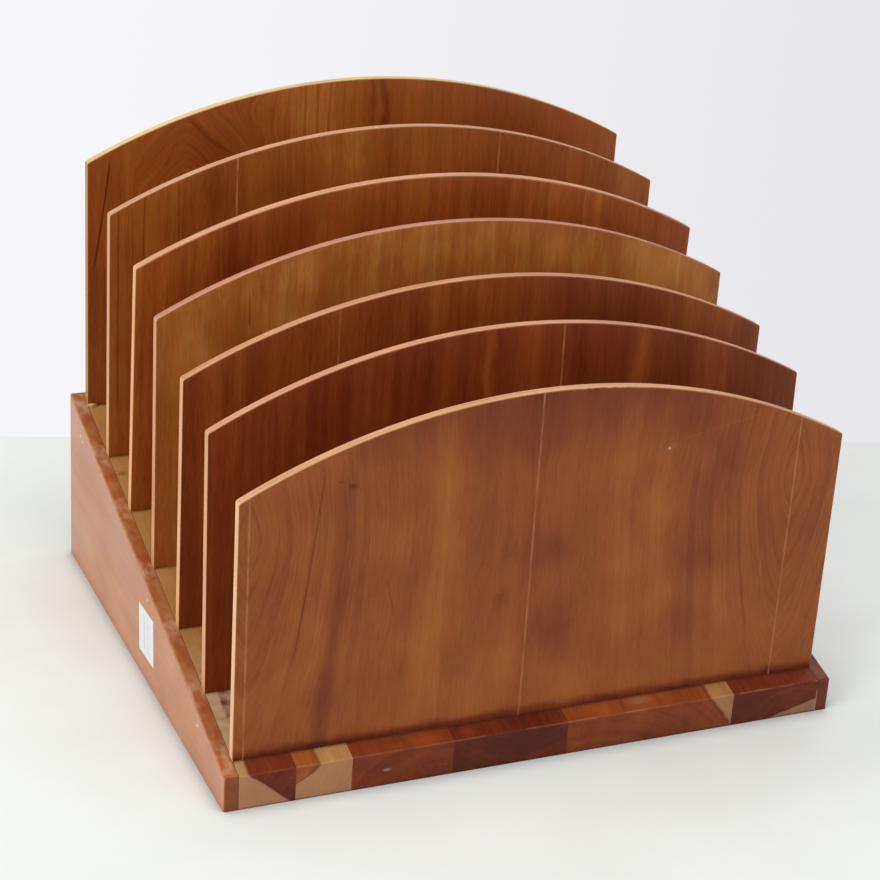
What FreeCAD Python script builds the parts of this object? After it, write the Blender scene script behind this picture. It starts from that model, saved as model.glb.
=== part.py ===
"""Envelope sorter: seven arched panels standing in a sloping floor between two side rails.

The floor is a board glued up from six staves that run from front to rear. It rests on its front
edge, on a rear board and between two wedge-shaped rails, and seven grooves across it hold the
veneered dividers. Millimetres. X to the right, Y to the rear, Z up. The origin is on the table
under the middle of the base.
"""
import FreeCAD, Part
import math
import os
import Sketcher

doc = FreeCAD.newDocument("envelope_sorter")
sheet = doc.addObject("Spreadsheet::Sheet", "Sizes")

# ---------------------------------------------------------------- driving dimensions

SIZES = [
    ("slope_angle", 15.6, "tilt of the floor, degrees"),
    ("board_thick", 18.0, "floor board, square to its face"),
    ("board_arris", 0.5, "eased front edge of the floor and rails"),
    ("front_margin", 10.0, "floor in front of the first divider"),
    ("divider_pitch", 45.6, "from one divider to the next"),
    ("rear_margin", 7.5, "floor behind the last divider"),
    ("floor_width", 325.6, "floor board, between the rails"),
    ("stave_width_1", 29.5, "floor staves, from the left; the last one is ripped to fit"),
    ("stave_width_2", 29.2, ""),
    ("stave_width_3", 54.3, ""),
    ("stave_width_4", 63.5, ""),
    ("stave_width_5", 97.0, ""),
    ("rail_thick", 7.2, "side rails"),
    ("rail_round", 1.2, "rounded outer edges of the rails"),
    ("rear_board_thick", 12.0, "board that carries the rear of the floor"),
    ("glue_block_leg", 16.0, "triangular blocks in the rear corners"),
    ("glue_block_gap", 3.0, "room between a block's top and the floor"),
    ("dado_depth", 6.0, "grooves for the dividers"),
    ("divider_thick", 5.0, "veneered panel"),
    ("veneer_thick", 0.6, "one face of a panel"),
    ("divider_rise", 40.5, "arch, from the side's top to the crown"),
    ("divider_corner", 2.0, "rounding where the side meets the arch"),
    ("brad_shank_radius", 0.6, "brads through the rails into the floor"),
    ("brad_head_radius", 0.9, ""),
    ("brad_head_thick", 0.8, ""),
    ("brad_length", 24.0, "head and shank together"),
    ("filler_depth", 1.2, "filled hole over each brad's head"),
    ("sticker_size", 27.0, "square paper sticker on the left rail"),
    ("sticker_thick", 0.15, ""),
    ("sticker_setback", 135.0, "its centre, from the front"),
    ("sticker_height", 27.4, "its centre, above the table"),
    ("sticker_tilt", -3.0, "degrees, turned about X"),
]

# One row for each divider, from the front: the side's height above the floor, the lean to the
# rear in degrees, a joint between two veneer leaves from the middle, and the leaves' width.
DIVIDERS = [
    (137.0, 0.0, -10.3, 147.2),
    (139.5, 1.2, 23.0, 147.2),
    (138.0, -0.5, -82.0, 147.2),
    (140.0, 0.0, -12.0, 147.2),
    (141.5, -3.0, 35.0, 147.2),
    (141.5, -0.7, -92.0, 155.0),
    (144.0, -0.3, 10.3, 147.2),
]
DIVIDER_COUNT = len(DIVIDERS)
for number, (side, lean, joint, leaf) in enumerate(DIVIDERS, start=1):
    SIZES.append(("side_height_%d" % number, side, "divider %d" % number))
    SIZES.append(("lean_%d" % number, lean, ""))
    SIZES.append(("leaf_joint_%d" % number, joint, ""))
    SIZES.append(("leaf_width_%d" % number, leaf, ""))

# Brads in each rail: distance from the front or the rear end, and drop below the rail's top.
BRADS = [
    ("front", 44.0, 7.4),
    ("front", 134.0, 7.4),
    ("rear", 29.0, 10.2),
    ("rear", 23.4, 10.2),
]
for number, (end, setback, drop) in enumerate(BRADS, start=1):
    SIZES.append(("brad_setback_%d" % number, setback, "from the %s end" % end))
    SIZES.append(("brad_drop_%d" % number, drop, ""))

for row, (alias, value, note) in enumerate(SIZES, start=1):
    sheet.set("A%d" % row, str(value))
    sheet.setAlias("A%d" % row, alias)
    sheet.set("B%d" % row, note)
doc.recompute()

# ---------------------------------------------------------------- derived dimensions

INNER_WIDTH = "Sizes.floor_width"
INNER_LEFT = "(-%s / 2)" % INNER_WIDTH
INNER_RIGHT = "(%s / 2)" % INNER_WIDTH
STAVE_COUNT = 6
STAVE_WIDTHS = ["Sizes.stave_width_%d" % number for number in range(1, STAVE_COUNT)]
STAVE_WIDTHS.append("(%s - %s)" % (INNER_WIDTH, " - ".join(STAVE_WIDTHS)))
SLOPE = "tan(Sizes.slope_angle * 1deg)"
FRONT_HEIGHT = "(Sizes.board_thick / cos(Sizes.slope_angle * 1deg))"
GAPS_LENGTH = "%d * Sizes.divider_pitch" % (DIVIDER_COUNT - 1)
DEPTH = "(Sizes.front_margin + %s + Sizes.divider_thick + Sizes.rear_margin)" % GAPS_LENGTH
FRONT = "(-%s / 2)" % DEPTH

# How far a cutting tool runs past what it cuts, and how near two places are that count as one.
BLEED = 5
TOLERANCE = 0.01


def floor_top(setback):
    """Height of the floor's upper face at a distance from the front."""
    return "(%s + (%s) * %s)" % (FRONT_HEIGHT, setback, SLOPE)


def floor_underside(setback):
    """Height of the floor's lower face at a distance from the front."""
    return "((%s) * %s)" % (setback, SLOPE)


def number_of(expression):
    """The value that an expression has with the sheet's present sizes."""
    return float(sheet.evalExpression(expression))


def placed(x, y, z, axis="1; 0; 0", angle="0"):
    """The expression of a Placement: a point, and a turn in degrees about an axis."""
    turn = "rotation(vector(%s); %s)" % (axis, angle)
    return "placement(vector(%s; %s; %s); %s)" % (x, y, z, turn)


# ---------------------------------------------------------------- sketches and simple solids

# The sketcher's index of its own origin and axes, and of the two ends of a curve.
ORIGIN_INDEX = -1
HORIZONTAL_AXIS_INDEX = -1
VERTICAL_AXIS_INDEX = -2
START_INDEX = 1
END_INDEX = 2


def new_sketch(body, role, name):
    """A sketch on one of the body's own origin planes."""
    sketch = body.newObject("Sketcher::SketchObject", name)
    planes = [plane for plane in body.Origin.OriginFeatures if plane.Role == role]
    sketch.AttachmentSupport = [(planes[0], "")]
    sketch.MapMode = "FlatFace"
    return sketch


def pin_point(sketch, curve, end, across, up):
    """Hold a curve's end at two distances from the sketch's origin."""
    across_rule = ("DistanceX", VERTICAL_AXIS_INDEX, across)
    up_rule = ("DistanceY", HORIZONTAL_AXIS_INDEX, up)
    for direction, axis, expression in (across_rule, up_rule):
        if expression == "0":
            sketch.addConstraint(Sketcher.Constraint("PointOnObject", curve, end, axis))
            continue
        distance = number_of(expression)
        ends = (ORIGIN_INDEX, START_INDEX, curve, end)
        row = sketch.addConstraint(Sketcher.Constraint(direction, *ends, distance))
        sketch.setExpression("Constraints[%d]" % row, expression)


def join(sketch, first, second):
    """The end of one curve meets the start of the next."""
    ends = (first, END_INDEX, second, START_INDEX)
    sketch.addConstraint(Sketcher.Constraint("Coincident", *ends))


def outline(body, role, name, corners):
    """A closed outline of straight lines through corners, each two expressions."""
    sketch = new_sketch(body, role, name)
    points = [FreeCAD.Vector(number_of(across), number_of(up), 0) for across, up in corners]
    count = len(points)
    for index in range(count):
        line = Part.LineSegment(points[index], points[(index + 1) % count])
        sketch.addGeometry(line, False)
    for index in range(count):
        join(sketch, index, (index + 1) % count)
    for index, (across, up) in enumerate(corners):
        pin_point(sketch, index, START_INDEX, across, up)
    return sketch


def arched_outline(body, name, width, side):
    """A panel's outline: a flat foot, two upright sides and one arc over them."""
    sketch = new_sketch(body, "XZ_Plane", name)
    wide, tall = number_of(width), number_of(side)
    crown = tall + number_of("Sizes.divider_rise")
    foot_left, foot_right = FreeCAD.Vector(0, 0, 0), FreeCAD.Vector(wide, 0, 0)
    left, right = FreeCAD.Vector(0, tall, 0), FreeCAD.Vector(wide, tall, 0)
    foot, right_side, arch, left_side = 0, 1, 2, 3
    sketch.addGeometry(Part.LineSegment(foot_left, foot_right), False)
    sketch.addGeometry(Part.LineSegment(foot_right, right), False)
    sketch.addGeometry(Part.Arc(right, FreeCAD.Vector(wide / 2, crown, 0), left), False)
    sketch.addGeometry(Part.LineSegment(left, foot_left), False)
    join(sketch, foot, right_side)
    join(sketch, right_side, arch)
    join(sketch, arch, left_side)
    join(sketch, left_side, foot)
    pin_point(sketch, foot, START_INDEX, "0", "0")
    pin_point(sketch, foot, END_INDEX, width, "0")
    pin_point(sketch, right_side, END_INDEX, width, side)
    pin_point(sketch, left_side, START_INDEX, "0", side)
    radius = "((%s / 2)^2 + Sizes.divider_rise^2) / (2 * Sizes.divider_rise)" % width
    row = sketch.addConstraint(Sketcher.Constraint("Radius", arch, number_of(radius)))
    sketch.setExpression("Constraints[%d]" % row, radius)
    return sketch


def pad(body, sketch, length, reverse=False):
    """Pad a sketch by a length that follows the sheet."""
    feature = body.newObject("PartDesign::Pad", sketch.Name + "_pad")
    feature.Profile = sketch
    feature.Reversed = reverse
    feature.setExpression("Length", length)
    sketch.Visibility = False
    doc.recompute()
    return feature


def new_body(label, placement):
    """An empty body with a label and a Placement that follows the sheet."""
    body = doc.addObject("PartDesign::Body", label)
    body.Label = label
    body.setExpression("Placement", placement)
    return body


def fillet(body, base, edges, radius):
    """Round some of a feature's edges."""
    feature = body.newObject("PartDesign::Fillet", base.Name + "_fillet")
    feature.Base = (base, edges)
    feature.setExpression("Radius", radius)
    doc.recompute()
    return feature


def new_box(label, length, width, height, placement):
    """A Part::Box whose sizes follow the sheet."""
    box = doc.addObject("Part::Box", label)
    for side, expression in (("Length", length), ("Width", width), ("Height", height)):
        box.setExpression(side, str(expression))
    box.setExpression("Placement", placement)
    return box


def new_cylinder(label, radius, height, placement):
    """A Part::Cylinder whose sizes follow the sheet."""
    cylinder = doc.addObject("Part::Cylinder", label)
    cylinder.setExpression("Radius", radius)
    cylinder.setExpression("Height", height)
    cylinder.setExpression("Placement", placement)
    return cylinder


def group(label, members):
    """Several separate solids under one label."""
    compound = doc.addObject("Part::Compound", label)
    compound.Links = members
    return compound


def boolean(kind, label, base, tool):
    """A Part::Cut, Part::Common or Part::Fuse of two objects."""
    result = doc.addObject("Part::" + kind, label)
    result.Base = base
    result.Tool = tool
    return result


pieces = []


def keep(label, shape_object):
    """Name a finished sub-part; it is written to a file of that name."""
    shape_object.Label = label
    pieces.append(shape_object)


# ---------------------------------------------------------------- dividers

def divider_place(number, sideways, below):
    """Where divider number's foot stands, moved sideways and down its own plane."""
    setback = "(Sizes.front_margin + %d * Sizes.divider_pitch)" % (number - 1)
    lean = "Sizes.lean_%d" % number
    y = "(%s + %s - %s * sin(%s * 1deg))" % (FRONT, setback, below, lean)
    z = "(%s - %s * cos(%s * 1deg))" % (floor_top(setback), below, lean)
    return placed(sideways, y, z, angle="-" + lean)


def arched_layer(label, number, front_offset, thickness):
    """One layer of a divider: the whole arched outline, at some depth behind the front face."""
    body = new_body(label, divider_place(number, INNER_LEFT, "Sizes.dado_depth"))
    side = "(Sizes.dado_depth + Sizes.side_height_%d)" % number
    sketch = arched_outline(body, label + "_outline", INNER_WIDTH, side)
    sketch.setExpression("AttachmentOffset.Base.z", "-(%s)" % front_offset)
    sheet_pad = pad(body, sketch, thickness, reverse=True)
    tall, wide = number_of(side), number_of(INNER_WIDTH)
    corners = []
    for index, edge in enumerate(sheet_pad.Shape.Edges, start=1):
        middle = edge.CenterOfMass
        at_side = min(abs(middle.x), abs(middle.x - wide)) < TOLERANCE
        if at_side and abs(middle.z - tall) < TOLERANCE:
            corners.append("Edge%d" % index)
    fillet(body, sheet_pad, corners, "Sizes.divider_corner")
    return body


def leaf_slabs(number):
    """Boxes that split a divider's veneers into leaves, side by side."""
    joint = number_of("Sizes.leaf_joint_%d" % number)
    width = number_of("Sizes.leaf_width_%d" % number)
    half = number_of(INNER_WIDTH) / 2
    first = -math.ceil((half + joint) / width)
    last = math.ceil((half - joint) / width)
    slabs = []
    for step in range(first, last):
        left = "(Sizes.leaf_joint_%d + %d * Sizes.leaf_width_%d)" % (number, step, number)
        place = placed(left, "(%s - %d)" % (FRONT, BLEED), "0")
        crown = "Sizes.side_height_%d + Sizes.divider_rise" % number
        tall = "%s + %s + %d" % (floor_top(DEPTH), crown, BLEED)
        deep = "%s + %d" % (DEPTH, 2 * BLEED)
        label = "leaf_slab_%d_%d" % (number, step - first + 1)
        slabs.append(new_box(label, "Sizes.leaf_width_%d" % number, deep, tall, place))
    return slabs


def make_divider(number):
    """A panel of a plywood core with a veneer of several leaves on each face."""
    core_thick = "(Sizes.divider_thick - 2 * Sizes.veneer_thick)"
    core = arched_layer("core_%d" % number, number, "Sizes.veneer_thick", core_thick)
    keep("divider_core_%d" % number, core)
    slabs = leaf_slabs(number)
    back_offset = "Sizes.divider_thick - Sizes.veneer_thick"
    for face, offset in (("front", "0"), ("back", back_offset)):
        name = "%s_veneer_%d" % (face, number)
        whole = arched_layer(name + "_sheet", number, offset, "Sizes.veneer_thick")
        leaves = []
        for index, slab in enumerate(slabs, start=1):
            leaves.append(boolean("Common", "%s_leaf_%d" % (name, index), whole, slab))
        keep(name, group(name, leaves))


def make_dado_cutter(number):
    """The groove that divider number stands in, cut at the divider's own lean."""
    sideways = "(%s - %d)" % (INNER_LEFT, BLEED)
    place = divider_place(number, sideways, "Sizes.dado_depth")
    length = "%s + %d" % (INNER_WIDTH, 2 * BLEED)
    height = "Sizes.dado_depth + %d" % BLEED
    return new_box("dado_cutter_%d" % number, length, "Sizes.divider_thick", height, place)


divider_numbers = range(1, DIVIDER_COUNT + 1)
for number in divider_numbers:
    make_divider(number)
dado_cutters = [make_dado_cutter(number) for number in divider_numbers]

# ---------------------------------------------------------------- brads and their fillers


def brad_place(side, number, depth):
    """A point on a brad's line, some depth in from the rail's outer face."""
    end = BRADS[number - 1][0]
    setback = "Sizes.brad_setback_%d" % number
    if end == "rear":
        setback = "(%s - %s)" % (DEPTH, setback)
    height = "(%s - Sizes.brad_drop_%d)" % (floor_top(setback), number)
    inward = 1 if side == "left" else -1
    x = "(%d * (-%s / 2 - Sizes.rail_thick + %s))" % (inward, INNER_WIDTH, depth)
    return placed(x, "(%s + %s)" % (FRONT, setback), height, "0; 1; 0", str(90 * inward))


def make_brads(side):
    """One rail's brads, and the filler over each head."""
    brads, fillers = [], []
    head_radius, filler_depth = "Sizes.brad_head_radius", "Sizes.filler_depth"
    head_thick, shank_radius = "Sizes.brad_head_thick", "Sizes.brad_shank_radius"
    shank_length = "Sizes.brad_length - Sizes.brad_head_thick"
    for number in range(1, len(BRADS) + 1):
        name = "%s_brad_%d" % (side, number)
        face = brad_place(side, number, "0")
        fillers.append(new_cylinder(name + "_filler", head_radius, filler_depth, face))
        head_place = brad_place(side, number, filler_depth)
        head = new_cylinder(name + "_head", head_radius, head_thick, head_place)
        shank_place = brad_place(side, number, "(%s + %s)" % (filler_depth, head_thick))
        shank = new_cylinder(name + "_shank", shank_radius, shank_length, shank_place)
        brads.append(boolean("Fuse", name, head, shank))
    brad_group = group("%s_brads" % side, brads)
    filler_group = group("%s_brad_fillers" % side, fillers)
    keep("%s_brads" % side, brad_group)
    keep("%s_brad_fillers" % side, filler_group)
    return brad_group, filler_group


brad_groups = {side: make_brads(side) for side in ("left", "right")}

# ---------------------------------------------------------------- side rails


def make_rail(side):
    """A wedge-shaped rail: its top follows the floor, its foot lies on the table."""
    left = "(%s - Sizes.rail_thick)" % INNER_LEFT if side == "left" else INNER_RIGHT
    body = new_body("%s_rail_blank" % side, placed(left, FRONT, "0"))
    corners = [
        ("0", "0"),
        ("0", "%s - Sizes.board_arris" % FRONT_HEIGHT),
        ("Sizes.board_arris", floor_top("Sizes.board_arris")),
        (DEPTH, floor_top(DEPTH)),
        (DEPTH, "0"),
    ]
    sketch = outline(body, "YZ_Plane", "%s_rail_profile" % side, corners)
    blank = pad(body, sketch, "Sizes.rail_thick")
    outer = 0 if side == "left" else number_of("Sizes.rail_thick")
    rounded = []
    for index, edge in enumerate(blank.Shape.Edges, start=1):
        box = edge.BoundBox
        on_outer_face = max(abs(box.XMin - outer), abs(box.XMax - outer)) < TOLERANCE
        if on_outer_face and box.ZMax > TOLERANCE:
            rounded.append("Edge%d" % index)
    fillet(body, blank, rounded, "Sizes.rail_round")
    holes = group("%s_rail_holes" % side, list(brad_groups[side]))
    keep("%s_side_rail" % side, boolean("Cut", "%s_rail_drilled" % side, body, holes))


for side in ("left", "right"):
    make_rail(side)

# ---------------------------------------------------------------- floor staves


def make_stave(number):
    """One stave of the floor, with the grooves and any brad holes cut in it."""
    offset = " + ".join([INNER_LEFT] + STAVE_WIDTHS[:number - 1])
    body = new_body("stave_blank_%d" % number, placed("(%s)" % offset, FRONT, "0"))
    corners = [
        ("0", "0"),
        ("0", "%s - Sizes.board_arris" % FRONT_HEIGHT),
        ("Sizes.board_arris", floor_top("Sizes.board_arris")),
        (DEPTH, floor_top(DEPTH)),
        (DEPTH, floor_underside(DEPTH)),
    ]
    sketch = outline(body, "YZ_Plane", "stave_profile_%d" % number, corners)
    pad(body, sketch, STAVE_WIDTHS[number - 1])
    cutters = list(dado_cutters)
    if number == 1:
        cutters.append(brad_groups["left"][0])
    if number == STAVE_COUNT:
        cutters.append(brad_groups["right"][0])
    tools = group("stave_cutters_%d" % number, cutters)
    keep("floor_stave_%d" % number, boolean("Cut", "stave_cut_%d" % number, body, tools))


for number in range(1, STAVE_COUNT + 1):
    make_stave(number)

# ---------------------------------------------------------------- rear board and glue blocks


def make_rear_board():
    """The board under the rear of the floor, its top bevelled to the floor's slope."""
    rear_face = "(%s - Sizes.rear_board_thick)" % DEPTH
    place = placed(INNER_LEFT, "(%s + %s)" % (FRONT, rear_face), "0")
    body = new_body("rear_board", place)
    corners = [
        ("0", "0"),
        ("Sizes.rear_board_thick", "0"),
        ("Sizes.rear_board_thick", floor_underside(DEPTH)),
        ("0", floor_underside(rear_face)),
    ]
    sketch = outline(body, "YZ_Plane", "rear_board_profile", corners)
    pad(body, sketch, INNER_WIDTH)
    keep("rear_board", body)


def make_glue_block(side):
    """A triangular block in the corner between a rail and the rear board."""
    leg = "Sizes.glue_block_leg"
    left = INNER_LEFT if side == "left" else "(%s - %s)" % (INNER_RIGHT, leg)
    front_tip = "(%s - Sizes.rear_board_thick - %s)" % (DEPTH, leg)
    body = new_body("%s_glue_block" % side, placed(left, "(%s + %s)" % (FRONT, front_tip), "0"))
    tip = ("0", "0") if side == "left" else (leg, "0")
    corners = [("0", leg), tip, (leg, leg)]
    sketch = outline(body, "XY_Plane", "%s_glue_block_profile" % side, corners)
    pad(body, sketch, "%s - Sizes.glue_block_gap" % floor_underside(front_tip))
    keep("%s_glue_block" % side, body)


make_rear_board()
for side in ("left", "right"):
    make_glue_block(side)

# ---------------------------------------------------------------- sticker


def make_sticker():
    """The blank square of paper stuck to the left rail's outer face."""
    size, tilt = "Sizes.sticker_size", "(Sizes.sticker_tilt * 1deg)"
    x = "(%s - Sizes.rail_thick - Sizes.sticker_thick)" % INNER_LEFT
    y = "(%s + Sizes.sticker_setback - %s / 2 * (cos%s - sin%s))" % (FRONT, size, tilt, tilt)
    z = "(Sizes.sticker_height - %s / 2 * (sin%s + cos%s))" % (size, tilt, tilt)
    place = placed(x, y, z, angle="Sizes.sticker_tilt")
    keep("blank_sticker", new_box("sticker", "Sizes.sticker_thick", size, size, place))


make_sticker()

# ---------------------------------------------------------------- checks and files

doc.recompute()
for item in doc.Objects:
    if "Invalid" in item.State or "Error" in item.State:
        raise RuntimeError("%s did not recompute: %s" % (item.Label, item.State))
for piece in pieces:
    shape = piece.Shape
    if shape.isNull() or not shape.isValid() or not shape.Solids:
        raise RuntimeError("%s has no valid solid" % piece.Label)

os.makedirs("parts", exist_ok=True)
whole = FreeCAD.BoundBox()
for piece in pieces:
    shape = piece.Shape
    shape.exportStep("parts/%s.step" % piece.Label)
    whole.add(shape.BoundBox)
    print("%-22s %2d solid(s) %10.1f mm3" % (piece.Label, len(shape.Solids), shape.Volume))
print("%d sub-parts" % len(pieces))
print("overall %.1f x %.1f x %.1f mm" % (whole.XLength, whole.YLength, whole.ZLength))
print("lowest corner %.2f %.2f %.2f" % (whole.XMin, whole.YMin, whole.ZMin))
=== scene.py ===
# %% [markdown]
# # An envelope sorter in cherry veneer
#
# Seven thin arched panels stand in a sloping floor between two side rails. The shapes come
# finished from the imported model, so this lesson is about wood: how one set of small rules (fibres,
# growth rings, clouds, leaf joints) makes seven veneered faces that are clearly the same tree and
# clearly not the same board. Every finish is made of nodes and reads only the model itself.

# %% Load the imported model
import math

import bmesh
import bpy
from mathutils import Matrix, Vector, noise


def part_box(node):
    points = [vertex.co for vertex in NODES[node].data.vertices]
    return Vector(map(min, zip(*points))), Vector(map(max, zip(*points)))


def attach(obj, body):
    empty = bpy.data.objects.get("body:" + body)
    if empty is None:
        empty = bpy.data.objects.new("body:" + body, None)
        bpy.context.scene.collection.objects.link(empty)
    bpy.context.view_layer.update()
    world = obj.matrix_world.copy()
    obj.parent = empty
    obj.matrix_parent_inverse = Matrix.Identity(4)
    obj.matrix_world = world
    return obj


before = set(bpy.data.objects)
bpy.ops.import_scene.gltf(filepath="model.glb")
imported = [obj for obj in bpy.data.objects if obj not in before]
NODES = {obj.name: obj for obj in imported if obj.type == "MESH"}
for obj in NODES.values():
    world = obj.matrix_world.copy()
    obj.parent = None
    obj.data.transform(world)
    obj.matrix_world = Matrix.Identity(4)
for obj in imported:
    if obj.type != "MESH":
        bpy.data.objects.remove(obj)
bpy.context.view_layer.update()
MM = 0.001
ORIGIN = Vector((0.0, 0.0, 0.0))
RIGHT = Vector((1.0, 0.0, 0.0))
REARWARD = Vector((0.0, 1.0, 0.0))
UPWARD = Vector((0.0, 0.0, 1.0))
PANEL_COUNT = len([name for name in NODES if name.startswith("divider_core_")])
print("nodes:", len(NODES), "panels:", PANEL_COUNT)

# %% [markdown]
# ## Writing a finish as arithmetic
#
# A wood pattern is a sum: a base tone, plus fibres, plus clouds, minus a dark line here and there.
# It could be wired by hand in the shader editor, but forty nodes soon hide what they say. Here
# each call adds a node and hands back its output, so a finish reads like the sum that it is.
# Lengths are in millimetres, because that is how a joiner thinks of grain.
#
# Most inputs are picked by their place in the node's list. The mix node has a set of sockets for
# each kind of value, and colours use the places named below.

# %% Nodes and finishes
MIX_AMOUNT = 0
MIX_FIRST = 6
MIX_SECOND = 7
MIX_RESULT = 2
SEED_SHIFT = (1.0, 1.7, 0.6)


class Nodes:
    """A tree of nodes; every method adds a node and returns its output socket."""

    def __init__(self, tree):
        self.tree = tree

    def add(self, kind, inputs, output=0, **options):
        """Add a node, set its options and feed its inputs, which are sockets or plain values."""
        node = self.tree.nodes.new(kind)
        for option, value in options.items():
            setattr(node, option, value)
        for slot, value in inputs:
            if isinstance(value, bpy.types.NodeSocket):
                self.tree.links.new(value, node.inputs[slot])
            else:
                node.inputs[slot].default_value = value
        return node.outputs[output]

    def math(self, operation, *values):
        """Arithmetic on one to three numbers."""
        return self.add("ShaderNodeMath", enumerate(values), operation=operation)

    def hypot(self, first, second):
        """The distance that two legs at a right angle span."""
        squares = self.math("MULTIPLY_ADD", first, first, self.product(second, second))
        return self.math("SQRT", squares)

    def total(self, first, *others):
        """The sum of several numbers."""
        for other in others:
            first = self.math("ADD", first, other)
        return first

    def product(self, first, *others):
        """The product of several numbers."""
        for other in others:
            first = self.math("MULTIPLY", first, other)
        return first

    def gap(self, first, second):
        """How far apart two numbers are."""
        return self.math("ABSOLUTE", self.math("SUBTRACT", first, second))

    def vector(self, operation, *values, output="Vector"):
        """Arithmetic on points and directions."""
        return self.add("ShaderNodeVectorMath", enumerate(values), output, operation=operation)

    def point(self, *lengths):
        """Up to three lengths as one point."""
        return self.add("ShaderNodeCombineXYZ", enumerate(lengths))

    def fade(self, value, start, end, from_value=0.0, to_value=1.0):
        """A smooth step from one value to another while the input goes from start to end."""
        inputs = enumerate((value, start, end, from_value, to_value))
        return self.add("ShaderNodeMapRange", inputs, interpolation_type="SMOOTHSTEP")

    def blend(self, amount, first, second, way="MIX"):
        """Mix two colours; amount 0 shows the first. With MULTIPLY the second tints the first."""
        inputs = ((MIX_AMOUNT, amount), (MIX_FIRST, first), (MIX_SECOND, second))
        return self.add("ShaderNodeMix", inputs, MIX_RESULT, data_type="RGBA", blend_type=way)

    def ramp(self, amount, stops):
        """A row of colours along the range 0 to 1."""
        socket = self.add("ShaderNodeValToRGB", ((0, amount),))
        row = socket.node.color_ramp.elements
        while len(row) < len(stops):
            row.new(0.5)
        for element, (position, paint) in zip(row, stops):
            element.position = position
            element.color = paint
        return socket

    def speckled(self, swing, dark, light):
        """Two web colours mixed by a noise that swings about zero."""
        stops = ((0.2, colour(dark)), (0.8, colour(light)))
        return self.ramp(self.total(swing, 0.5), stops)

    def facing(self, direction):
        """How squarely the surface faces a direction: 1 straight at it, 0 edge on, -1 away."""
        normal = self.add("ShaderNodeTexCoord", (), "Normal")
        return self.vector("DOT_PRODUCT", normal, direction, output="Value")

    def place(self, origin, across=RIGHT, through=REARWARD, along=UPWARD):
        """Millimetres from an origin, measured along three directions of the board."""
        metres = self.add("ShaderNodeTexCoord", (), "Object")
        away = self.vector("SUBTRACT", metres, origin)
        parts = [self.vector("DOT_PRODUCT", away, Vector(axis) / MM, output="Value")
                 for axis in (across, through, along)]
        return self.point(*parts), parts

    def grain(self, place, size, strength, seed=0.0, detail=2.0):
        """Noise stretched to a size in millimetres, swinging about zero."""
        squeeze = Vector([1 / length for length in size])
        start = [seed * share for share in SEED_SHIFT]
        stretched = self.vector("MULTIPLY_ADD", place, squeeze, start)
        cloud = self.add("ShaderNodeTexNoise", (("Vector", stretched), ("Scale", 1.0),
                                                ("Detail", detail)))
        return self.math("MULTIPLY_ADD", cloud, 2 * strength, -strength)


class Finish(Nodes):
    """The nodes of one material, and the shader that they feed."""

    def __init__(self, name, roughness, gloss):
        self.material = bpy.data.materials.new(name)
        self.material.use_nodes = True
        super().__init__(self.material.node_tree)
        self.shader = self.tree.nodes["Principled BSDF"]
        self.shader.inputs["Roughness"].default_value = roughness
        self.shader.inputs["Specular IOR Level"].default_value = gloss

    def wire(self, paint, height=None, depth=0.0):
        """Wire the colour, and a height in millimetres, to the shader."""
        self.tree.links.new(paint, self.shader.inputs["Base Color"])
        if height is not None:
            inputs = (("Strength", 1.0), ("Distance", depth * MM), ("Height", height))
            bump = self.add("ShaderNodeBump", inputs)
            self.tree.links.new(bump, self.shader.inputs["Normal"])
        return self.material


def colour(code):
    """A web colour as the linear values that a shader takes."""
    parts = [int(code[start:start + 2], 16) / 255 for start in (0, 2, 4)]
    linear = [part / 12.92 if part <= 0.04045 else ((part + 0.055) / 1.055) ** 2.4
              for part in parts]
    return (*linear, 1.0)


def dress(name, material):
    """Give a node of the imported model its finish."""
    piece = NODES[name]
    piece.data.materials.clear()
    piece.data.materials.append(material)


print("finish kit ready")

# %% [markdown]
# ## Cherry: the colour scale
#
# Cherry under an old clear varnish runs from purple-brown in the darkest streaks over red-brown to
# a honey colour. All patterns here only move a tone between 0 and 1, and one row of colours turns
# the tone into paint. That keeps the hue natural: a streak that gets lighter also gets more
# golden, as it does in the real wood.

# %% The scale
CHERRY = ((0.00, "260a02"), (0.22, "561f08"), (0.42, "7f3f19"), (0.60, "9e5b2a"),
          (0.80, "bf8244"), (1.00, "dcae72"))
SAPWOOD = ((0.00, "6e432a"), (0.40, "a27242"), (1.00, "d2a674"))


def scale(stops, red=0.0, gold=0.0):
    """Colours along the tone; red takes green and blue out of the dark tones, gold only blue."""
    paints = []
    for tone, code in stops:
        local = red * (1.5 - 1.1 * tone)
        keep = (1.0, 1.0 - 0.36 * local, (1.0 - 0.55 * local) * (1.0 - 0.5 * gold), 1.0)
        paints.append((tone, tuple(part * share for part, share in zip(colour(code), keep))))
    return paints


print("cherry tones:", len(CHERRY), "sapwood tones:", len(SAPWOOD))

# %% [markdown]
# ## Growth rings
#
# A ring is a slow rise in tone that ends in a thin dark line. On a flat-cut face the lines are
# where the face cuts the tree's nested cones, so they bow. A wave texture could draw them, but its
# lines are evenly spaced. Here the distance across the rings is first pushed about by noise, then
# wrapped into steps, and only the end of each step is darkened.

# %% Ring lines
RING_SPACING = 3.6
DRIFT_PACE = 0.22
YEARS_ADRIFT = 5.0
SHARPNESS = 5.0


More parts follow.
